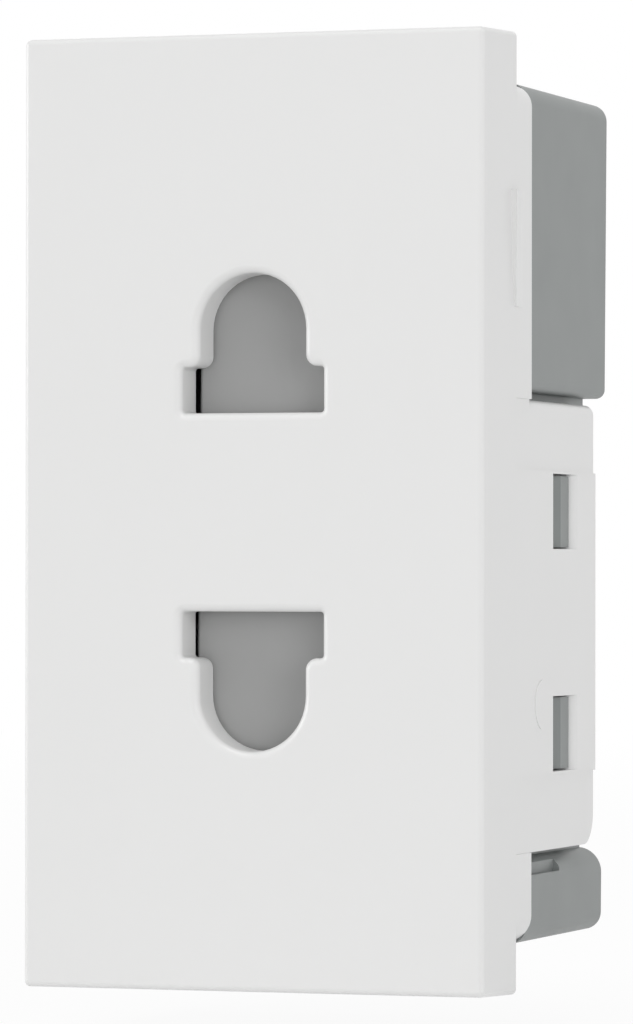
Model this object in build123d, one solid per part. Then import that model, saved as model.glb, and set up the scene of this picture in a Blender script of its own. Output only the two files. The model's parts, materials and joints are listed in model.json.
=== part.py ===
from build123d import *
import math
import os

# Socket module for a modular front plate, in millimetres.
# The origin is the centre of the front face. +X is right, +Y goes to the rear and +Z is up.

# Front block of the cover
block_width = 25.54
block_height = 50.0
block_depth = 5.2
side_draft = 0.15
end_draft = 0.18
block_edge_radius = 0.3
front_wall = 2.3
side_wall = 1.45
end_wall = 2.34

# Apertures: a round pin and a flat blade share each key-hole
pin_spacing = 19.0
pin_hole_radius = 2.9
blade_spacing = 12.7
blade_slot_width = 7.76
blade_slot_height = 2.4
aperture_edge_radius = 0.42
aperture_corner_radius = 0.6
slot_corner_radius = 0.18

# Collar and snap legs at the sides of the cover
collar_setback = 0.24
collar_top_radius = 1.15
collar_low_radius = 1.4
leg_rear = 19.95
leg_height = 23.73
leg_corner_radius = 1.7
leg_edge_radius = 0.55
pad_margin = 0.13
pad_step = 0.13
window_rear = 16.0
window_length = 4.1
window_height = 4.0
window_pitch = 11.8
window_rise = 0.14
window_soft_edge = 0.5
mark_radius = 1.3
mark_height = 0.04
mark_setback = 2.0
mark_rise = 1.6

# Wedge ribs that lock the module sideways
rib_lead = 0.9
rib_low_lead = 0.45
rib_length = 2.0
rib_drop = 5.67
rib_span = 6.05
rib_height = 0.3
rib_low_height = 0.14
rib_root = 0.4

# Base housing
base_rear = 23.38
base_rear_lean = 1.1
base_inset = 0.3
base_wall = 1.2
base_rear_wall = 1.2
base_tongue_length = 4.2
lower_block_height = 4.46
gap_over_leg = 0.44
gap_under_leg = 0.34
base_corner_radius = 0.95
upper_block_radius = 0.5
lower_block_radius = 1.35
block_sharp_edge = 0.25
rabbet_rear = 14.6
rabbet_height = 0.9
rabbet_depth = 0.5
rabbet_corner_radius = 0.35
lug_rise = 1.25
lug_gap = 0.3
lug_flat = 1.5

# Shutter and the way it slides
shutter_thickness = 1.0
shutter_overlap = 0.125
shutter_gap_upper = 0.15
shutter_gap_lower = 0.01
shutter_margin = 2.85
shutter_edge_radius = 0.2
foot_height = 2.0
foot_length = 3.6
foot_inset = 0.2
slide_angle = 30.0
slide_travel = 8.08

# Contact carrier
rim_gap = 0.46
carrier_inset = 0.4
carrier_thickness = 1.5
cheek_thickness = 1.05
cheek_left = -5.0
ramp_length = 8.4
passage_margin = 0.3
trough_wall = 1.0

# Return spring of the shutter
spring_wire = 0.3
spring_radius = 1.05
spring_length = 11.3
spring_turns = 8
spring_start_x = -1.8
spring_start_depth = 1.3
peg_length = 1.5
spring_lug_thickness = 1.4
spring_lug_half_height = 1.5

# Contacts
contact_sheet = 0.5
contact_half_width = 3.2
contact_gap = 0.5
contact_lead = 3.6
contact_flare = 0.8
contact_root_spread = 0.25
middle_leaf_half_width = 1.5
middle_leaf_setback = 0.8
blade_thickness = 1.5
blade_grip = 0.2
pin_radius = 2.4
pin_grip = 0.3
arm_height = 3.0
link_gap = 0.3
riser_width = 3.8
tab_length = 9.5
clip_sheet = 0.3
clip_half_width = 1.8

# Terminals
terminal_half_width = 3.8
terminal_side_gap = 0.4
terminal_length = 10.5
terminal_clearance = 1.55
terminal_edge = 0.25
chamber_half_width = 2.2
chamber_length = 4.9
chamber_front_wall = 1.3
chamber_floor = 1.1
clamp_thickness = 0.8
clamp_top_gap = 0.7
screw_radius = 1.75
screw_length = 5.5
screw_edge = 0.25
screw_slot_width = 0.8
screw_slot_depth = 1.0
screw_tip_radius = 0.8
rivet_setback = 2.2
rivet_radius = 1.0
rivet_head_radius = 1.5
rivet_head_height = 0.4
wire_hole_radius = 1.9
driver_hole_radius = 2.4

# Ribs inside the base
partition_clearance = 0.65
rib_thickness = 1.0
seat_rib_thickness = 0.8
barrier_gap = 0.5
shelf_thickness = 1.1
shelf_gap = 0.3

# Clearances, and the overlap of shapes that are fused or cut
snug = 0.1
loose = 0.2
running = 0.05
overlap = 1.0
tiny = 0.001

# Sizes that follow from the ones above
block_half_width = block_width / 2
block_half_height = block_height / 2
cavity_half_width = block_half_width - side_wall
cavity_half_height = block_half_height - end_wall
recess_half_width = cavity_half_width - snug
inner_half_width = recess_half_width - base_wall
base_half_width = block_half_width - base_inset
base_half_height = cavity_half_height - snug
inner_half_height = base_half_height - base_wall
inner_rear = base_rear - base_rear_lean - base_rear_wall

lower_block_top = lower_block_height - base_half_height
leg_bottom = lower_block_top + gap_under_leg
leg_top = leg_bottom + leg_height
upper_block_bottom = leg_top + gap_over_leg
window_front = window_rear - window_length
window_middle = (leg_bottom + leg_top) / 2 + window_rise
window_centres = (window_middle + window_pitch / 2, window_middle - window_pitch / 2)
pad_top = max(window_centres) + window_height / 2 + pad_margin
pad_bottom = min(window_centres) - window_height / 2 - pad_margin
mark_z = min(window_centres) + mark_rise
lug_ramp = window_length - loose - lug_gap - lug_flat
collar_half_height = cavity_half_height - collar_setback
rib_rear = block_depth - rib_lead + rib_length
rib_top = collar_half_height - rib_drop
rib_bottom = rib_top - rib_span

pin_z = pin_spacing / 2
blade_z = blade_spacing / 2
slot_reach = blade_slot_width / 2
slot_bottom = blade_z - blade_slot_height / 2
slot_top = blade_z + blade_slot_height / 2
shoulder = slot_reach - pin_hole_radius
corner_radius = min(aperture_corner_radius, shoulder - 2 * slot_corner_radius)
mouth_radius = min(aperture_edge_radius, corner_radius - snug)

shutter_front = front_wall + loose
shutter_rear = shutter_front + shutter_thickness
shutter_right = slot_reach + shutter_overlap
shutter_left_upper = shutter_gap_upper - slot_reach
shutter_left_lower = shutter_gap_lower - slot_reach
shutter_half_height = pin_z + pin_hole_radius + shutter_margin
shutter_slant = (shutter_left_upper - shutter_left_lower) / blade_spacing
shutter_left_middle = (shutter_left_upper + shutter_left_lower) / 2
shutter_left_end = shutter_left_middle - shutter_slant * shutter_half_height
foot_left = shutter_left_upper + foot_inset
foot_start = shutter_half_height - foot_height
cheek_start = shutter_half_height + loose

slide_rise = slide_travel * math.sin(math.radians(slide_angle))
base_side_front = shutter_rear + slide_rise + rim_gap
collar_rear = base_side_front - running
base_tongue_front = base_side_front - base_tongue_length
carrier_front = base_side_front + carrier_inset
carrier_rear = carrier_front + carrier_thickness
carrier_half_width = inner_half_width - loose
carrier_half_height = inner_half_height - loose

coil_outer = spring_radius + spring_wire / 2
coil_inner = spring_radius - spring_wire / 2
peg_radius = coil_inner - loose
spring_start_y = shutter_rear + spring_start_depth
trough_floor = coil_outer + snug
trough_half_height = spring_lug_half_height + loose

blade_lower_face = blade_z - blade_thickness / 2 + blade_grip / 2
blade_upper_face = blade_z + blade_thickness / 2 - blade_grip / 2
pin_upper_face = pin_z + pin_radius - pin_grip
web_bottom = blade_lower_face - contact_root_spread - contact_sheet
web_top = pin_upper_face + contact_root_spread + contact_sheet

terminal_x = inner_half_width - terminal_side_gap - terminal_half_width
terminal_bottom = web_top + terminal_clearance
terminal_top = inner_half_height - loose
terminal_rear = inner_rear - loose
terminal_front = terminal_rear - terminal_length
contact_tip = carrier_rear + contact_gap
contact_pinch = contact_tip + contact_lead
contact_rear = terminal_front + tab_length
contact_front = contact_rear - contact_sheet
chamber_front = terminal_front + chamber_front_wall
chamber_rear = chamber_front + chamber_length
chamber_bottom = terminal_bottom + chamber_floor
clamp_rear = chamber_rear - snug
clamp_front = clamp_rear - clamp_thickness
clamp_bottom = chamber_bottom + loose
clamp_top = terminal_top - clamp_top_gap
screw_z = (clamp_bottom + clamp_top) / 2
screw_front = clamp_rear + running
screw_rear = screw_front + screw_length
wire_y = (chamber_front + clamp_front) / 2
rivet_y = terminal_front + rivet_setback
tab_bottom = terminal_bottom - contact_sheet
riser_inner = terminal_x - riser_width / 2
riser_outer = terminal_x + riser_width / 2
link_outer = riser_outer + link_gap
link_inner = contact_half_width + barrier_gap + rib_thickness + link_gap
partition_inner = terminal_x - terminal_half_width - loose - rib_thickness
partition_start = web_top + partition_clearance

# The shutter slides along this direction: local X of the plane follows it, and local Y goes rearward
along = Vector(math.cos(math.radians(slide_angle)), math.sin(math.radians(slide_angle)), 0)
slide_plane = Plane(origin=(spring_start_x, spring_start_y, 0), x_dir=along, z_dir=(0, 0, 1))
ramp_level = slide_plane.to_local_coords(Vector(shutter_left_end, shutter_rear, 0)).Y

# The rear face of the base leans forward towards its lower end
rear_plane = Plane(origin=(0, base_rear, base_half_height), z_dir=(0, 2 * base_half_height, -base_rear_lean))

# Reach of the shapes that only trim others: past the whole module
far = block_height


def span(x, y, z):
    """Box between two limits on each axis."""
    size = Box(abs(x[1] - x[0]), abs(y[1] - y[0]), abs(z[1] - z[0]))
    return Pos(sum(x) / 2, sum(y) / 2, sum(z) / 2) * size


def slide_span(s, n, z):
    """Box in the slide plane: s along the travel, n away from the front."""
    return slide_plane.location * span(s, n, z)


def slide_peg(radius, s):
    """Peg along the shutter's travel."""
    start = slide_plane.from_local_coords(Vector(min(s), 0, 0))
    return extrude(Plane(origin=start, z_dir=along) * Circle(radius), abs(s[1] - s[0]))


def along_x(profile, x):
    """Extrude a profile drawn in Y and Z between two X limits."""
    return extrude(Plane.YZ.offset(min(x)) * profile, abs(x[1] - x[0]))


def along_y(profile, y):
    """Extrude a profile drawn in X and Z between two Y limits."""
    return extrude(Plane.XZ.offset(-min(y)) * profile, -abs(y[1] - y[0]))


def along_z(profile, z):
    """Extrude a profile drawn in X and Y between two Z limits."""
    return extrude(Plane.XY.offset(min(z)) * profile, abs(z[1] - z[0]))


def rectangle(u, v):
    """Rectangle between two limits on each axis of its plane."""
    return Pos(sum(u) / 2, sum(v) / 2) * Rectangle(abs(u[1] - u[0]), abs(v[1] - v[0]))


def rounded(profile, points, radius):
    """Round the corners of a flat profile that lie at the given points."""
    corners = [
        v for v in profile.vertices() if any(abs(v.X - u) < tiny and abs(v.Y - w) < tiny for u, w in points)
    ]
    return fillet(corners, radius)


def strip(points, thickness, side):
    """Bent sheet seen on edge: one face follows the points and the sheet lies to the given side."""
    return make_face(offset(Polyline(*points), amount=thickness, side=side, closed=True))


def both_sides(solid):
    """The solid and its mirror image on the other side of the module."""
    return solid + mirror(solid, about=Plane.YZ)


def key_hole(margin):
    """Upper key-hole, drawn in X and Z: an arch for a round pin over a slot for a blade."""
    arch = pin_hole_radius + margin
    reach = slot_reach + margin
    bottom = slot_bottom - margin
    hole = Pos(0, pin_z) * Circle(arch)
    hole += rectangle((-arch, arch), (bottom, pin_z))
    return hole + rectangle((-reach, reach), (bottom, slot_top + margin))


def aperture():
    """Upper key-hole with the rounded corners that show at the front."""
    hole = rounded(key_hole(0), [(-pin_hole_radius, slot_top), (pin_hole_radius, slot_top)], corner_radius)
    ends = [(x, z) for x in (-slot_reach, slot_reach) for z in (slot_bottom, slot_top)]
    return rounded(hole, ends, slot_corner_radius)


def both_holes(profile, y):
    """The upper hole's profile and its mirror image below, as one shape between two Y limits."""
    upper = along_y(profile, y)
    return upper + mirror(upper, about=Plane.XY)


def make_front_cover():
    """White moulding: drafted front block, apertures, side collar and snap legs."""
    front = Plane.XZ * Rectangle(block_width - 2 * side_draft, block_height - 2 * end_draft)
    rear = Plane.XZ.offset(-block_depth) * Rectangle(block_width, block_height)
    cover = loft([front, rear])
    cover = fillet(cover.edges().filter_by_position(Axis.Y, -tiny, block_depth - tiny), block_edge_radius)
    cover -= both_holes(aperture(), (-overlap, block_depth + overlap))
    mouth = cover.edges().filter_by_position(Axis.Y, -tiny, tiny)
    mouth = mouth.filter_by_position(Axis.X, -blade_slot_width, blade_slot_width)
    mouth = mouth.filter_by_position(Axis.Z, -shutter_half_height, shutter_half_height)
    cover = fillet(mouth, mouth_radius)
    cover -= span(
        (-cavity_half_width, cavity_half_width),
        (front_wall, block_depth + overlap),
        (-cavity_half_height, cavity_half_height),
    )
    return cover + both_sides(make_side_wall()) + both_sides(make_wedge_rib())


def make_side_wall():
    """Right collar wall and snap leg of the cover."""
    outer = (cavity_half_width, block_half_width)
    leg_face = block_half_width - pad_step
    collar = rectangle(outer, (-collar_half_height, collar_half_height))
    collar = rounded(collar, [(block_half_width, collar_half_height)], collar_top_radius)
    collar = rounded(collar, [(block_half_width, -collar_half_height)], collar_low_radius)
    wall = along_y(collar, (block_depth, collar_rear))
    wall -= span((leg_face, block_width), (0, leg_rear), (leg_bottom, leg_top))
    leg = rectangle((block_depth, leg_rear), (leg_bottom, leg_top))
    leg = along_x(rounded(leg, [(leg_rear, leg_bottom)], leg_corner_radius), (cavity_half_width, leg_face))
    top_edge = leg.edges().filter_by_position(Axis.X, leg_face - tiny, leg_face + tiny)
    wall += fillet(top_edge.filter_by_position(Axis.Z, leg_top - tiny, leg_top + tiny), leg_edge_radius)
    wall += along_x(rectangle((block_depth, leg_rear), (pad_bottom, pad_top)), outer)
    for centre in window_centres:
        height = (centre - window_height / 2, centre + window_height / 2)
        wall -= along_x(rectangle((window_front, window_rear), height), (0, block_width))
    rear_edges = wall.edges().filter_by_position(Axis.X, block_half_width - tiny, block_half_width + tiny)
    rear_edges = rear_edges.filter_by_position(Axis.Y, window_rear - tiny, window_rear + tiny)
    wall = fillet(rear_edges, window_soft_edge)
    mark = Pos(window_front - mark_setback, mark_z) * Circle(mark_radius)
    return wall + along_x(mark, (leg_face, block_half_width + mark_height))


def make_wedge_rib():
    """Right wedge rib: high at its top end, running out to the surface at the bottom."""
    root = block_half_width - rib_root
    ends = []
    for z, height, lead in ((rib_bottom, rib_low_height, rib_low_lead), (rib_top, rib_height, rib_lead)):
        section = Polyline(
            (root, block_depth - lead),
            (block_half_width + height, block_depth - lead),
            (block_half_width, rib_rear),
            (root, rib_rear),
            close=True,
        )
        ends.append(Plane.XY.offset(z) * make_face(section))
    return loft(ends)


def make_block(z, radii):
    """Block of the base over its full width, with rounded edges along its sides."""
    profile = rectangle((-base_half_width, base_half_width), z)
    for level, radius in zip(z, radii):
        profile = rounded(profile, [(-base_half_width, level), (base_half_width, level)], radius)
    return along_y(profile, (base_side_front, base_rear))


def make_base_housing():
    """Grey tub behind the cover, with the blocks above and below the legs."""
    base = span(
        (-recess_half_width, recess_half_width),
        (base_side_front, base_rear),
        (-base_half_height, base_half_height),
    )
    base += make_block((upper_block_bottom, base_half_height), (upper_block_radius, base_corner_radius))
    base += make_block((-base_half_height, lower_block_top), (base_corner_radius, lower_block_radius))
    base -= rear_plane.location * span((-far, far), (-far, far), (0, far))
    base = fillet(base.faces().sort_by(Axis.Y)[-1].edges(), block_sharp_edge)
    rabbet_bottom = lower_block_top - rabbet_height
    rabbet = rectangle((base_side_front - overlap, rabbet_rear), (rabbet_bottom, lower_block_top + overlap))
    rabbet = rounded(rabbet, [(rabbet_rear, rabbet_bottom)], rabbet_corner_radius)
    base -= both_sides(along_x(rabbet, (base_half_width - rabbet_depth, base_half_width + overlap)))
    base -= span(
        (-inner_half_width, inner_half_width),
        (base_side_front - overlap, inner_rear),
        (-inner_half_height, inner_half_height),
    )
    tongue = span(
        (-recess_half_width, recess_half_width),
        (base_tongue_front, base_side_front),
        (inner_half_height, base_half_height),
    )
    base += tongue + mirror(tongue, about=Plane.XY)
    for centre in window_centres:
        base += both_sides(make_snap_lug(centre))
    base += make_base_ribs()
    for x in (-terminal_x, terminal_x):
        wire_hole = Pos(x, wire_y) * Circle(wire_hole_radius)
        base -= along_z(wire_hole, (inner_half_height - snug, base_half_height + overlap))
        driver_hole = Pos(x, screw_z) * Circle(driver_hole_radius)
        base -= along_y(driver_hole, (inner_rear - snug, base_rear + overlap))
    return base


def make_snap_lug(centre):
    """Right lug that catches the rear edge of a leg window."""
    rear = window_rear - loose
    crest = recess_half_width + lug_rise
    section = Polyline(
        (recess_half_width - overlap, rear - lug_flat - lug_ramp),
        (recess_half_width, rear - lug_flat - lug_ramp),
        (crest, rear - lug_flat),
        (crest, rear),
        (recess_half_width - overlap, rear),
        close=True,
    )
    half = window_height / 2 - snug
    return along_z(make_face(section), (centre - half, centre + half))


def make_base_ribs():
    """Ribs that seat the carrier, contacts and terminals, and keep the two poles apart."""
    to_rear = inner_rear + base_rear_wall / 2
    to_end = inner_half_height + base_wall / 2
    to_side = inner_half_width + base_wall / 2
    partition = span(
        (partition_inner, partition_inner + rib_thickness),
        (carrier_rear, to_rear),
        (partition_start, to_end),
    )
    partition += mirror(partition, about=Plane.XY)
    seat = span(
        (contact_half_width - seat_rib_thickness, contact_half_width),
        (contact_rear, to_rear),
        (web_bottom, web_top),
    )
    seat += mirror(seat, about=Plane.XY)
    shelf = span(
        (link_outer + shelf_gap, to_side),
        (terminal_front, to_rear),
        (terminal_bottom - shelf_thickness, terminal_bottom),
    )
    ribs = both_sides(partition + seat + shelf)
    barrier_face = -contact_half_width - barrier_gap
    ribs += span(
        (barrier_face - rib_thickness, barrier_face),
        (contact_pinch, to_rear),
        (web_bottom - overlap, web_top),
    )
    link_middle = -(link_outer + link_inner) / 2
    ribs += span(
        (link_middle - rib_thickness / 2, link_middle + rib_thickness / 2),
        (contact_rear, to_rear),
        (-web_bottom - arm_height, tab_bottom - shelf_gap),
    )
    return ribs


def make_contact_carrier():
    """Insulating plate with pin passages, two ramps for the shutter and the spring trough."""
    carrier = span(
        (-carrier_half_width, carrier_half_width),
        (carrier_front, carrier_rear),
        (-carrier_half_height, carrier_half_height),
    )
    ramp = span(
        (foot_left, foot_left + ramp_length),
        (shutter_rear, carrier_rear),
        (foot_start - snug, cheek_start),
    )
    cheek = span(
        (cheek_left, carrier_half_width),
        (front_wall + snug, carrier_rear),
        (cheek_start, cheek_start + cheek_thickness),
    )
    carrier += ramp + cheek + mirror(ramp + cheek, about=Plane.XY)
    boss_half_height = trough_half_height + trough_wall
    boss = slide_span(
        (0, spring_length + trough_wall),
        (-far, trough_floor + trough_wall),
        (-boss_half_height, boss_half_height),
    )
    room = span((0, carrier_half_width), (carrier_front, far), (-far, far))
    carrier += boss & room
    carrier -= both_holes(key_hole(passage_margin), (carrier_front - overlap, carrier_rear + overlap))
    foot_tip = slide_plane.to_local_coords(Vector(foot_left + foot_length, shutter_rear, 0)).X
    foot_tip += foot_length * math.sin(math.radians(slide_angle))
    channel = slide_span(
        (-far, foot_tip + slide_travel + loose),
        (-far, ramp_level + snug),
        (foot_start - snug, cheek_start),
    )
    carrier -= channel + mirror(channel, about=Plane.XY)
    trough = (-trough_half_height, trough_half_height)
    carrier -= slide_span((-far, spring_length), (-far, trough_floor), trough)
    return carrier + slide_peg(peg_radius, (spring_length - peg_length, spring_length))


def make_shutter():
    """Flat plate over both apertures, with a ramp foot at each end and a lug for the spring."""
    outline = Polyline(
        (shutter_left_end, -shutter_half_height),
        (shutter_right, -shutter_half_height),
        (shutter_right, shutter_half_height),
        (2 * shutter_left_middle - shutter_left_end, shutter_half_height),
        close=True,
    )
    shutter = along_y(make_face(outline), (shutter_front, shutter_rear))
    shutter = fillet(shutter.edges().filter_by_position(Axis.Y, 0, shutter_front + tiny), shutter_edge_radius)
    behind = (shutter_rear - shutter_thickness / 2, far)
    foot = span((foot_left, foot_left + foot_length), behind, (foot_start, shutter_half_height))
    foot &= slide_span((-far, far), (-far, ramp_level), (-far, far))
    lug = slide_span(
        (-spring_lug_thickness, 0),
        (-far, trough_floor - snug),
        (-spring_lug_half_height, spring_lug_half_height),
    )
    lug &= span((foot_left, far), behind, (-far, far))
    return shutter + foot + mirror(foot, about=Plane.XY) + lug + slide_peg(peg_radius, (0, peg_length))


def make_shutter_spring():
    """Compression spring that lies along the shutter's travel."""
    margin = spring_wire / 2 + running
    height = spring_length - 2 * margin
    path = Helix(pitch=height / spring_turns, height=height, radius=spring_radius)
    wire = sweep(Plane(origin=path @ 0, z_dir=path % 0) * Circle(spring_wire / 2), path=path)
    start = slide_plane.from_local_coords(Vector(margin, 0, 0))
    return Plane(origin=start, z_dir=along).location * wire


def make_contact():
    """Upper contact: a web with two outer leaves and a middle leaf that both plug types share."""
    lower_leaf = [
        (contact_rear, blade_lower_face - contact_root_spread),
        (contact_pinch, blade_lower_face),
        (contact_tip, blade_lower_face - contact_flare),
    ]
    middle_leaf = [
        (contact_rear, blade_upper_face + contact_root_spread),
        (contact_pinch, blade_upper_face),
        (contact_tip + middle_leaf_setback, blade_upper_face + contact_root_spread),
    ]
    upper_leaf = [
        (contact_rear, pin_upper_face + contact_root_spread),
        (contact_pinch, pin_upper_face),
        (contact_tip, pin_upper_face + contact_flare),
    ]
    width = (-contact_half_width, contact_half_width)
    contact = along_x(rectangle((contact_front, contact_rear), (web_bottom, web_top)), width)
    contact += along_x(strip(lower_leaf, contact_sheet, Side.LEFT), width)
    contact += along_x(strip(upper_leaf, contact_sheet, Side.RIGHT), width)
    narrow = (-middle_leaf_half_width, middle_leaf_half_width)
    return contact + along_x(strip(middle_leaf, contact_sheet, Side.RIGHT), narrow)


def make_tab(x):
    """Tab under a terminal block, with the hole for its rivet."""
    tab = span(x, (terminal_front + snug, contact_rear), (tab_bottom, terminal_bottom))
    hole = Pos(math.copysign(terminal_x, sum(x)), rivet_y) * Circle(rivet_radius + running)
    return tab - along_z(hole, (tab_bottom - overlap, terminal_bottom + overlap))


def make_line_contact():
    """Upper contact, linked to the right terminal."""
    sheet = (contact_front, contact_rear)
    arm = span((0, riser_outer), sheet, (web_top - arm_height, web_top))
    riser = span((riser_inner, riser_outer), sheet, (web_top - arm_height, terminal_bottom))
    return make_contact() + arm + riser + make_tab((riser_inner, riser_outer))


def make_neutral_contact():
    """Lower contact, linked up the left side to the left terminal."""
    sheet = (contact_front, contact_rear)
    arm = span((-link_outer, 0), sheet, (-web_bottom - arm_height, -web_bottom))
    link = span((-link_outer, -link_inner), sheet, (-web_bottom - arm_height, terminal_bottom))
    return mirror(make_contact(), about=Plane.XY) + arm + link + make_tab((-link_outer, -riser_inner))


def make_contact_spring():
    """Steel clip around the outer leaves of the upper contact."""
    root_low = web_bottom - running
    root_high = web_top + running
    back = contact_rear + running
    inside = [
        (contact_pinch, root_low + contact_root_spread),
        (back, root_low),
        (back, root_high),
        (contact_pinch, root_high - contact_root_spread),
    ]
    return along_x(strip(inside, clip_sheet, Side.RIGHT), (-clip_half_width, clip_half_width))


def make_terminal():
    """Right terminal block with its wire chamber, screw hole and rivet."""
    block = span(
        (terminal_x - terminal_half_width, terminal_x + terminal_half_width),
        (terminal_front, terminal_rear),
        (terminal_bottom, terminal_top),
    )
    block = chamfer(block.edges(), terminal_edge)
    block -= span(
        (terminal_x - chamber_half_width, terminal_x + chamber_half_width),
        (chamber_front, chamber_rear),
        (chamber_bottom, terminal_top + overlap),
    )
    screw_hole = Pos(terminal_x, screw_z) * Circle(screw_radius + running)
    block -= along_y(screw_hole, (chamber_rear - snug, terminal_rear + overlap))
    rivet = Pos(terminal_x, rivet_y) * Circle(rivet_radius)
    head = Pos(terminal_x, rivet_y) * Circle(rivet_head_radius)
    block += along_z(rivet, (tab_bottom - rivet_head_height, chamber_bottom))
    return block + along_z(head, (tab_bottom - rivet_head_height, tab_bottom))


def make_clamp_plate():
    """Right plate that the screw pushes against the wire."""
    half_width = chamber_half_width - snug
    plate = span(
        (terminal_x - half_width, terminal_x + half_width),
        (clamp_front, clamp_rear),
        (clamp_bottom, clamp_top),
    )
    seat = Pos(terminal_x, screw_z) * Circle(screw_tip_radius + running)
    return plate - along_y(seat, (clamp_front - overlap, clamp_rear + overlap))


def make_terminal_screw():
    """Right slotted terminal screw with a tip that turns in the clamp plate."""
    screw = along_y(Pos(terminal_x, screw_z) * Circle(screw_radius), (screw_front, screw_rear))
    screw = chamfer(screw.edges().group_by(Axis.Y)[-1], screw_edge)
    tip = Pos(terminal_x, screw_z) * Circle(screw_tip_radius)
    screw += along_y(tip, (clamp_front + snug, screw_front))
    slot = span(
        (terminal_x - screw_radius - overlap, terminal_x + screw_radius + overlap),
        (screw_rear - screw_slot_depth, screw_rear + overlap),
        (screw_z - screw_slot_width / 2, screw_z + screw_slot_width / 2),
    )
    return screw - slot


right_terminal = {
    "terminal": make_terminal(),
    "clamp_plate": make_clamp_plate(),
    "terminal_screw": make_terminal_screw(),
}
upper_spring = make_contact_spring()
parts = {
    "front_cover": make_front_cover(),
    "base_housing": make_base_housing(),
    "contact_carrier": make_contact_carrier(),
    "shutter": make_shutter(),
    "shutter_spring": make_shutter_spring(),
    "line_contact": make_line_contact(),
    "neutral_contact": make_neutral_contact(),
    "line_contact_spring": upper_spring,
    "neutral_contact_spring": mirror(upper_spring, about=Plane.XY),
}
for name, solid in right_terminal.items():
    parts[f"line_{name}"] = solid
    parts[f"neutral_{name}"] = mirror(solid, about=Plane.YZ)

os.makedirs("parts", exist_ok=True)
for name, solid in parts.items():
    export_step(solid, f"parts/{name}.step")
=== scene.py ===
import json
import math

import bpy
from mathutils import Matrix, Vector


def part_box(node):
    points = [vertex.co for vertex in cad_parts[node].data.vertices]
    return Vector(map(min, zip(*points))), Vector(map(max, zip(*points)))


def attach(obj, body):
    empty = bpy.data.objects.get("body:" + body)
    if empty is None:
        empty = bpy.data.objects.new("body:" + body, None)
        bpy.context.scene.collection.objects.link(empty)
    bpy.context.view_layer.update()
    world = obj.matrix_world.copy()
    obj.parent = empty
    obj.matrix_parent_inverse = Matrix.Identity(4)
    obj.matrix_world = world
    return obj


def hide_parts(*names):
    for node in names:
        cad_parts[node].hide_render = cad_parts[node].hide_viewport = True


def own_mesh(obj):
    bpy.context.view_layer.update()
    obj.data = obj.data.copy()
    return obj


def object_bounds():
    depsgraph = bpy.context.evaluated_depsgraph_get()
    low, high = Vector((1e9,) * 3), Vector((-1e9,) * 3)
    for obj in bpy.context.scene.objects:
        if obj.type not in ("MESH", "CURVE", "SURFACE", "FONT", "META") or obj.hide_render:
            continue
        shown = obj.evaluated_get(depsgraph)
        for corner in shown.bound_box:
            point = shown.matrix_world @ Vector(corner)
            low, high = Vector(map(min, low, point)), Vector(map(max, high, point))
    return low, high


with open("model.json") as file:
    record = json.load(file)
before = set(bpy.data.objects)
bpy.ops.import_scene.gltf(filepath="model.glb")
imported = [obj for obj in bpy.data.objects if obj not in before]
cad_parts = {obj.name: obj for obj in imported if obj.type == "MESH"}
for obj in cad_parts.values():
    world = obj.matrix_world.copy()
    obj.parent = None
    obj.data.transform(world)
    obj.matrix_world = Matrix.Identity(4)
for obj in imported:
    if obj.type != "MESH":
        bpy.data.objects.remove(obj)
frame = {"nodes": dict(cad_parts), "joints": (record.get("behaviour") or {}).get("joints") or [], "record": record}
cad_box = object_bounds()
nodes = frame["nodes"]
joints = {joint["name"]: joint for joint in frame["joints"]}

MM = 0.001

# Camera, as the photograph was taken: turned about the origin, then moved in its own axes
VIEW_AZIMUTH = math.radians(18.889)
VIEW_PITCH = math.radians(-0.613)
VIEW_ROLL = math.radians(0.063)
VIEW_DISTANCE = 302.108 * MM
VIEW_RIGHT = 3.399 * MM
VIEW_UP = 0.008 * MM
NEAR_CLIP = 10 * MM
LENS_MM = 205.24
SENSOR_MM = 36

# Shutter spring, from the face of the shutter's lug
SPRING_START = Vector((-1.8, 4.8, 0)) * MM
SPRING_LENGTH = 11.3 * MM
SPRING_RADIUS = 1.05 * MM
SPRING_WIRE = 0.3 * MM
SPRING_TURNS = 8

# Rings of points in a turn, and sides of the wire
SPRING_STEPS = 32
WIRE_SIDES = 10

# Terminal screws, with the floor of the slot between two rings of the thread
SCREW_RADIUS = 1.75 * MM
SCREW_TIP_RADIUS = 0.8 * MM
SCREW_LENGTH = 5.5 * MM
SCREW_CHAMFER = 0.25 * MM
THREAD_PITCH = 0.6 * MM
THREAD_DEPTH = 0.27 * MM
SLOT_WIDTH = 0.8 * MM
SLOT_DEPTH = 1.02 * MM

# Rings of points in a turn of the thread, and points in a ring
THREAD_STEPS = 12
SCREW_SIDES = 48

# Outward faces of a box whose corners are counted by depth, then width, then height
BOX_FACES = [(0, 2, 3, 1), (4, 5, 7, 6), (0, 1, 5, 4), (2, 6, 7, 3), (0, 4, 6, 2), (1, 3, 7, 5)]

# Edges bent by more than this stay sharp
SMOOTH_ANGLE = math.radians(32)

# Noise in the materials: features to the metre, and levels of finer detail
MOTTLING = (130, 1)
GLOSS_PATCHES = (420, 1)
FLOW_WAVES = (260, 2)
MOULD_GRAIN = (7000, 3)
TARNISH = (350, 5)
DRAWN_LINES = (9000, 4)

# Range of values that noise mostly takes
NOISE_LOW = 0.2
NOISE_HIGH = 0.8

# Strength of the bumps
WAVE_STRENGTH = 0.25
GRAIN_STRENGTH = 0.5
LINE_STRENGTH = 0.6

PLASTIC_IOR = 1.5

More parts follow.
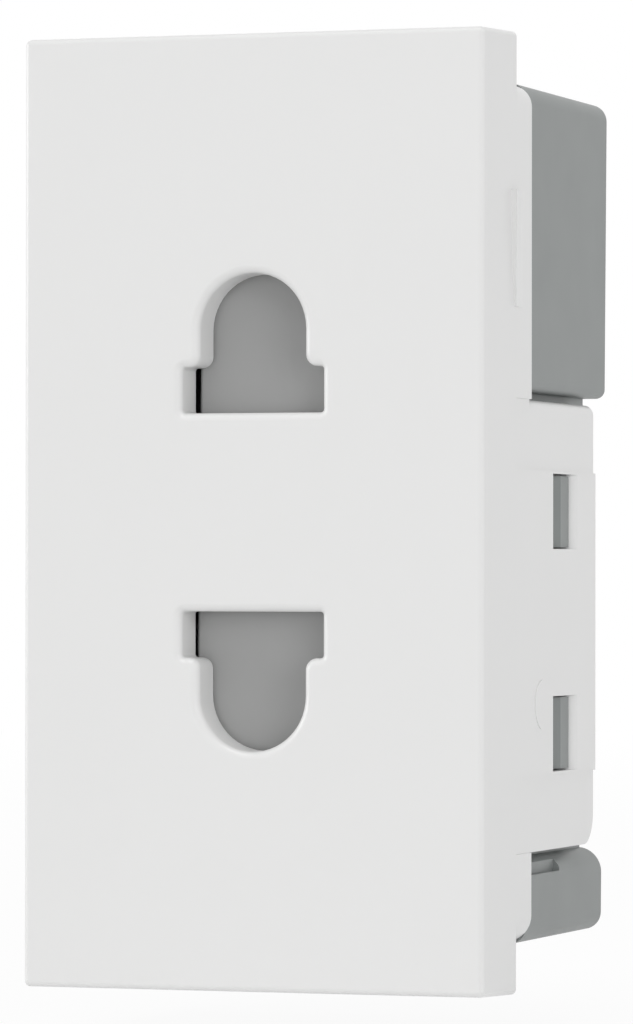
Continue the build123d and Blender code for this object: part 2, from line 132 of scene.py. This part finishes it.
# Plastics: dark and light shade, range of roughness, depth of the grain, gloss
# The white's roughness stays above 0.274, below which the denoiser outlines the patches of gloss
PLASTICS = {
    "white_cover": ((0.795, 0.795, 0.791), (0.8, 0.8, 0.796), (0.285, 0.315), 0.0003 * MM, 0.5),
    "grey_base": ((0.244, 0.259, 0.256), (0.251, 0.266, 0.263), (0.4, 0.44), 0.002 * MM, 0.35),
    "grey_shutter": ((0.378, 0.38, 0.379), (0.39, 0.392, 0.39), (0.42, 0.46), 0.002 * MM, 0.4),
    "pale_carrier": ((0.52, 0.51, 0.47), (0.56, 0.55, 0.51), (0.45, 0.55), 0.003 * MM, 0.4),
}

# Metals: dark and light shade, range of roughness, stretch of the lines by axis, depth of the lines
METALS = {
    "contact_brass": ((0.6, 0.4, 0.15), (0.7, 0.48, 0.19), (0.22, 0.34), (1, 0.06, 1), 0.004 * MM),
    "terminal_brass": ((0.53, 0.36, 0.13), (0.63, 0.44, 0.18), (0.26, 0.4), (1, 1, 0.08), 0.006 * MM),
    "spring_steel": ((0.34, 0.34, 0.35), (0.44, 0.44, 0.45), (0.24, 0.34), (0.1, 1, 1), 0.003 * MM),
    "plated_steel": ((0.46, 0.46, 0.44), (0.55, 0.55, 0.52), (0.28, 0.4), (1, 0.3, 1), 0.004 * MM),
}

# Floor: its half width and gap below the object, in metres, and its shade
FLOOR_HALF = 4.0
FLOOR_DROP = 2.5 * MM
FLOOR_WHITE = 0.95

# Share of plain white in the floor near the object, and where it starts to rise and is full, in metres
FLOOR_GLOW = 0.93
GLOW_NEAR = 0.1
GLOW_FAR = 0.6

# Light from all round
AMBIENT = 0.48

# Lamps: place and width in metres, watts, and whether the object's gloss mirrors them
LAMPS = {
    "right": ((0.8, -0.75, 0.15), 0.6, 4.05, False),
    "left": ((-1.1, -0.3, 0.1), 0.7, 6.6, True),
    "top": ((0, -0.4, 1.1), 0.6, 3.6, True),
}


def add_node(tree, kind, inputs=None, **settings):
    """A new shader node with the given settings, and its inputs set by name or index."""
    node = tree.nodes.new(kind)
    for key, value in settings.items():
        setattr(node, key, value)
    for key, value in (inputs or {}).items():
        node.inputs[key].default_value = value
    return node


def new_material(name):
    """A material with its shader and output, and the object's own coordinates."""
    material = bpy.data.materials.new(name)
    material.use_nodes = True
    tree = material.node_tree
    coords = add_node(tree, "ShaderNodeTexCoord")
    return material, tree, tree.nodes["Principled BSDF"], coords.outputs["Object"]


def noise(tree, coords, scale, detail, stretch=(1, 1, 1)):
    """Noise at so many features to the metre, drawn out along the axes where stretch is below 1."""
    mapping = add_node(tree, "ShaderNodeMapping", {"Scale": stretch})
    tree.links.new(coords, mapping.inputs["Vector"])
    texture = add_node(tree, "ShaderNodeTexNoise", {"Scale": scale, "Detail": detail})
    tree.links.new(mapping.outputs["Vector"], texture.inputs["Vector"])
    return texture.outputs["Fac"]


def spread(tree, value, low, high):
    """A noise value mapped to the range from low to high."""
    ends = {"From Min": NOISE_LOW, "From Max": NOISE_HIGH, "To Min": low, "To Max": high}
    span = add_node(tree, "ShaderNodeMapRange", ends)
    tree.links.new(value, span.inputs["Value"])
    return span.outputs["Result"]


def tint(tree, value, dark, light):
    """A colour between two shades, by a noise value."""
    mix = add_node(tree, "ShaderNodeMix", data_type="RGBA")
    mix.inputs["A"].default_value = (*dark, 1)
    mix.inputs["B"].default_value = (*light, 1)
    tree.links.new(spread(tree, value, 0, 1), mix.inputs["Factor"])
    return mix.outputs["Result"]


def bump(tree, height, depth, strength, below=None):
    """A bump of so many metres, on top of another one if given."""
    node = add_node(tree, "ShaderNodeBump", {"Strength": strength, "Distance": depth})
    tree.links.new(height, node.inputs["Height"])
    if below:
        tree.links.new(below, node.inputs["Normal"])
    return node.outputs["Normal"]


def plastic(name, dark, light, rough, grain, gloss):
    """Moulded plastic: spark-eroded grain, faint flow waves, slight mottling and uneven gloss."""
    material, tree, shader, coords = new_material(name)
    mottling = noise(tree, coords, *MOTTLING)
    tree.links.new(tint(tree, mottling, dark, light), shader.inputs["Base Color"])
    patches = noise(tree, coords, *GLOSS_PATCHES)
    tree.links.new(spread(tree, patches, *rough), shader.inputs["Roughness"])
    waves = bump(tree, noise(tree, coords, *FLOW_WAVES), grain, WAVE_STRENGTH)
    fine = bump(tree, noise(tree, coords, *MOULD_GRAIN), grain, GRAIN_STRENGTH, waves)
    tree.links.new(fine, shader.inputs["Normal"])
    shader.inputs["IOR"].default_value = PLASTIC_IOR
    shader.inputs["Specular IOR Level"].default_value = gloss
    return material


def metal(name, dark, light, rough, stretch, scratch):
    """Bright metal with drawing or machining lines along one axis and a little tarnish."""
    material, tree, shader, coords = new_material(name)
    tarnish = noise(tree, coords, *TARNISH)
    tree.links.new(tint(tree, tarnish, dark, light), shader.inputs["Base Color"])
    lines = noise(tree, coords, *DRAWN_LINES, stretch)
    tree.links.new(spread(tree, lines, *rough), shader.inputs["Roughness"])
    tree.links.new(bump(tree, lines, scratch, LINE_STRENGTH), shader.inputs["Normal"])
    shader.inputs["Metallic"].default_value = 1
    return material


def new_piece(name, points, faces, slot, body):
    """A smooth-shaded mesh piece with sharp edges kept, in its slot's look, riding on a body."""
    mesh = bpy.data.meshes.new(name)
    mesh.from_pydata(points, [], faces)
    mesh.shade_smooth()
    mesh.set_sharp_from_angle(angle=SMOOTH_ANGLE)
    mesh.materials.append(looks[slot])
    piece = bpy.data.objects.new(name, mesh)
    bpy.context.scene.collection.objects.link(piece)
    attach(piece, body)
    return piece


def tube_faces(rings, sides):
    """Faces of a closed tube of so many rings, with a flat face at each end."""
    faces = []
    for ring in range(rings - 1):
        for side in range(sides):
            a = ring * sides + side
            b = ring * sides + (side + 1) % sides
            faces.append((a, b, b + sides, a + sides))
    faces.append(tuple(reversed(range(sides))))
    faces.append(tuple(range((rings - 1) * sides, rings * sides)))
    return faces


def make_spring():
    """Coil spring with closed ends that lies along the shutter's travel."""
    along = Vector(joints["shutter_slide"]["axis"]).normalized()
    up = Vector((0, 0, 1))
    across = up.cross(along)
    start = SPRING_START
    steps = SPRING_TURNS * SPRING_STEPS
    # The wire starts and ends one thickness in, and climbs by one in the closed turn at each end
    inside = SPRING_LENGTH - 2 * SPRING_WIRE
    lift = (inside - 2 * SPRING_WIRE) / (SPRING_TURNS - 2)
    path = []
    for step in range(steps + 1):
        turn = step / SPRING_STEPS
        closed = min(turn, 1) + max(turn - SPRING_TURNS + 1, 0)
        height = SPRING_WIRE + closed * SPRING_WIRE + (turn - closed) * lift
        angle = 2 * math.pi * turn
        out = across * math.cos(angle) + up * math.sin(angle)
        path.append(start + along * height + SPRING_RADIUS * out)
    points = []
    for step, centre in enumerate(path):
        ahead = path[min(step + 1, steps)] - path[max(step - 1, 0)]
        out = centre - start
        out = (out - along * out.dot(along)).normalized()
        side = ahead.normalized().cross(out)
        for k in range(WIRE_SIDES):
            angle = 2 * math.pi * k / WIRE_SIDES
            points.append(centre + SPRING_WIRE / 2 * (out * math.cos(angle) + side * math.sin(angle)))
    spring = new_piece("spring_coil", points, tube_faces(steps + 1, WIRE_SIDES), "spring_steel", "housing")
    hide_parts("shutter_spring")
    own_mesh(spring)


def cut_slot(screw, centre, rear):
    """Cut the driver's slot across the rear end of a screw."""
    half = SCREW_RADIUS + SLOT_WIDTH
    corners = [(centre.x + x, y, centre.z + z)
               for y in (rear - SLOT_DEPTH, rear + SLOT_DEPTH)
               for x in (-half, half)
               for z in (-SLOT_WIDTH / 2, SLOT_WIDTH / 2)]
    cutter = bpy.data.meshes.new("slot_cutter")
    cutter.from_pydata(corners, [], BOX_FACES)
    tool = bpy.data.objects.new("slot_cutter", cutter)
    bpy.context.scene.collection.objects.link(tool)
    # The thread's faces are bent, and left so they would fold over where the slot cuts them
    screw.modifiers.new("flat_faces", "TRIANGULATE")
    boolean = screw.modifiers.new("slot", "BOOLEAN")
    boolean.object = tool
    boolean.operation = "DIFFERENCE"
    boolean.solver = "EXACT"
    graph = bpy.context.evaluated_depsgraph_get()
    screw.data = bpy.data.meshes.new_from_object(screw.evaluated_get(graph))
    screw.data.set_sharp_from_angle(angle=SMOOTH_ANGLE)
    screw.modifiers.clear()
    bpy.data.objects.remove(tool)


def make_screw(side):
    """Slotted terminal screw with a cut thread and a plain tip, along the depth of the module."""
    low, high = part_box(side + "_terminal_screw")
    centre = (low + high) / 2
    rear = high.y
    front = rear - SCREW_LENGTH
    steps = round(SCREW_LENGTH / THREAD_PITCH * THREAD_STEPS)
    # Each ring's depth and radius, and how far the thread cuts into it
    rings = [(low.y, SCREW_TIP_RADIUS, 0), (front, SCREW_TIP_RADIUS, 0)]
    rings += [(front + SCREW_LENGTH * step / steps, SCREW_RADIUS, THREAD_DEPTH)
              for step in range(steps + 1)]
    points = []
    for depth, radius, cut in rings:
        for k in range(SCREW_SIDES):
            angle = 2 * math.pi * k / SCREW_SIDES
            phase = ((depth - front) / THREAD_PITCH + k / SCREW_SIDES) % 1
            reach = radius - cut * (1 - abs(2 * phase - 1))
            reach = min(reach, SCREW_RADIUS - SCREW_CHAMFER + rear - depth)
            points.append((centre.x + reach * math.cos(angle), depth, centre.z - reach * math.sin(angle)))
    faces = tube_faces(len(rings), SCREW_SIDES)
    screw = new_piece(side + "_screw_thread", points, faces, "plated_steel", side + "_screw")
    cut_slot(screw, centre, rear)
    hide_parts(side + "_terminal_screw")


def seen_directly(tree):
    """1 for rays from the camera, off gloss or through glass, and 0 for the light on the object."""
    path = add_node(tree, "ShaderNodeLightPath")
    first = add_node(tree, "ShaderNodeMath", operation="MAXIMUM")
    tree.links.new(path.outputs["Is Camera Ray"], first.inputs[0])
    tree.links.new(path.outputs["Is Glossy Ray"], first.inputs[1])
    both = add_node(tree, "ShaderNodeMath", operation="MAXIMUM")
    tree.links.new(first.outputs[0], both.inputs[0])
    tree.links.new(path.outputs["Is Transmission Ray"], both.inputs[1])
    return both.outputs[0]


def floor_material():
    """Matt white that takes the object's shadow, and passes into plain white further out."""
    material, tree, shader, coords = new_material("floor_white")
    shader.inputs["Base Color"].default_value = (FLOOR_WHITE, FLOOR_WHITE, FLOOR_WHITE, 1)
    shader.inputs["Roughness"].default_value = 1
    shader.inputs["Specular IOR Level"].default_value = 0
    glow = add_node(tree, "ShaderNodeEmission", {"Strength": 1})
    far = add_node(tree, "ShaderNodeVectorMath", operation="LENGTH")
    tree.links.new(coords, far.inputs[0])
    ends = {"From Min": GLOW_NEAR, "From Max": GLOW_FAR, "To Min": FLOOR_GLOW, "To Max": 1}
    share = add_node(tree, "ShaderNodeMapRange", ends, interpolation_type="SMOOTHSTEP")
    tree.links.new(far.outputs["Value"], share.inputs["Value"])
    factor = add_node(tree, "ShaderNodeMath", operation="MULTIPLY")
    tree.links.new(share.outputs["Result"], factor.inputs[0])
    tree.links.new(seen_directly(tree), factor.inputs[1])
    mix = add_node(tree, "ShaderNodeMixShader")
    tree.links.new(factor.outputs[0], mix.inputs["Fac"])
    tree.links.new(shader.outputs["BSDF"], mix.inputs[1])
    tree.links.new(glow.outputs["Emission"], mix.inputs[2])
    tree.links.new(mix.outputs["Shader"], tree.nodes["Material Output"].inputs["Surface"])
    return material


def make_floor():
    """White floor a little below the object."""
    level = cad_box[0].z - FLOOR_DROP
    corners = [(-FLOOR_HALF, -FLOOR_HALF), (FLOOR_HALF, -FLOOR_HALF),
               (FLOOR_HALF, FLOOR_HALF), (-FLOOR_HALF, FLOOR_HALF)]
    mesh = bpy.data.meshes.new("floor")
    mesh.from_pydata([(x, y, level) for x, y in corners], [], [(0, 1, 2, 3)])
    mesh.materials.append(floor_material())
    floor = bpy.data.objects.new("floor", mesh)
    bpy.context.scene.collection.objects.link(floor)


def make_world():
    """White surroundings to look at, and softer grey light from all round."""
    world = bpy.data.worlds.new("studio")
    bpy.context.scene.world = world
    world.use_nodes = True
    tree = world.node_tree
    ambient = tree.nodes["Background"]
    ambient.inputs["Color"].default_value = (AMBIENT, AMBIENT, AMBIENT, 1)
    ambient.inputs["Strength"].default_value = 1
    white = add_node(tree, "ShaderNodeBackground", {"Color": (1, 1, 1, 1), "Strength": 1})
    mix = add_node(tree, "ShaderNodeMixShader")
    tree.links.new(seen_directly(tree), mix.inputs["Fac"])
    tree.links.new(ambient.outputs["Background"], mix.inputs[1])
    tree.links.new(white.outputs["Background"], mix.inputs[2])
    tree.links.new(mix.outputs["Shader"], tree.nodes["World Output"].inputs["Surface"])


def make_softbox(name, place, size, watts, mirrored):
    """Large square lamp that faces the object, and is mirrored in its gloss or not."""
    lamp = bpy.data.lights.new(name, "AREA")
    lamp.shape = "SQUARE"
    lamp.size = size
    lamp.energy = watts
    box = bpy.data.objects.new(name, lamp)
    box.location = place
    box.rotation_euler = (-Vector(place)).to_track_quat("-Z", "Y").to_euler()
    box.visible_camera = False
    box.visible_glossy = mirrored
    bpy.context.scene.collection.objects.link(box)


def make_camera():
    """Camera nearly level with the object's middle, to its right."""
    data = bpy.data.cameras.new("camera")
    data.lens = LENS_MM
    data.sensor_width = SENSOR_MM
    data.clip_start = NEAR_CLIP
    camera = bpy.data.objects.new("camera", data)
    turn = Matrix.Rotation(VIEW_AZIMUTH, 4, "Z") @ Matrix.Rotation(math.pi / 2 - VIEW_PITCH, 4, "X")
    turn = turn @ Matrix.Rotation(VIEW_ROLL, 4, "Z")
    camera.matrix_world = turn @ Matrix.Translation((VIEW_RIGHT, VIEW_UP, VIEW_DISTANCE))
    bpy.context.scene.collection.objects.link(camera)
    bpy.context.scene.camera = camera


# Materials, for the CAD nodes too
looks = {name: plastic(name, *look) for name, look in PLASTICS.items()}
looks.update({name: metal(name, *look) for name, look in METALS.items()})

for part in frame["record"]["subparts"]:
    node = nodes[part["node"]]
    node.data.materials.clear()
    node.data.materials.append(looks[part["material_slot"]])

# Pieces that replace CAD nodes
make_spring()
make_screw("line")
make_screw("neutral")

# Studio
make_floor()
make_world()
for name, lamp in LAMPS.items():
    make_softbox(name, *lamp)
make_camera()
bpy.context.scene.view_settings.view_transform = "Standard"
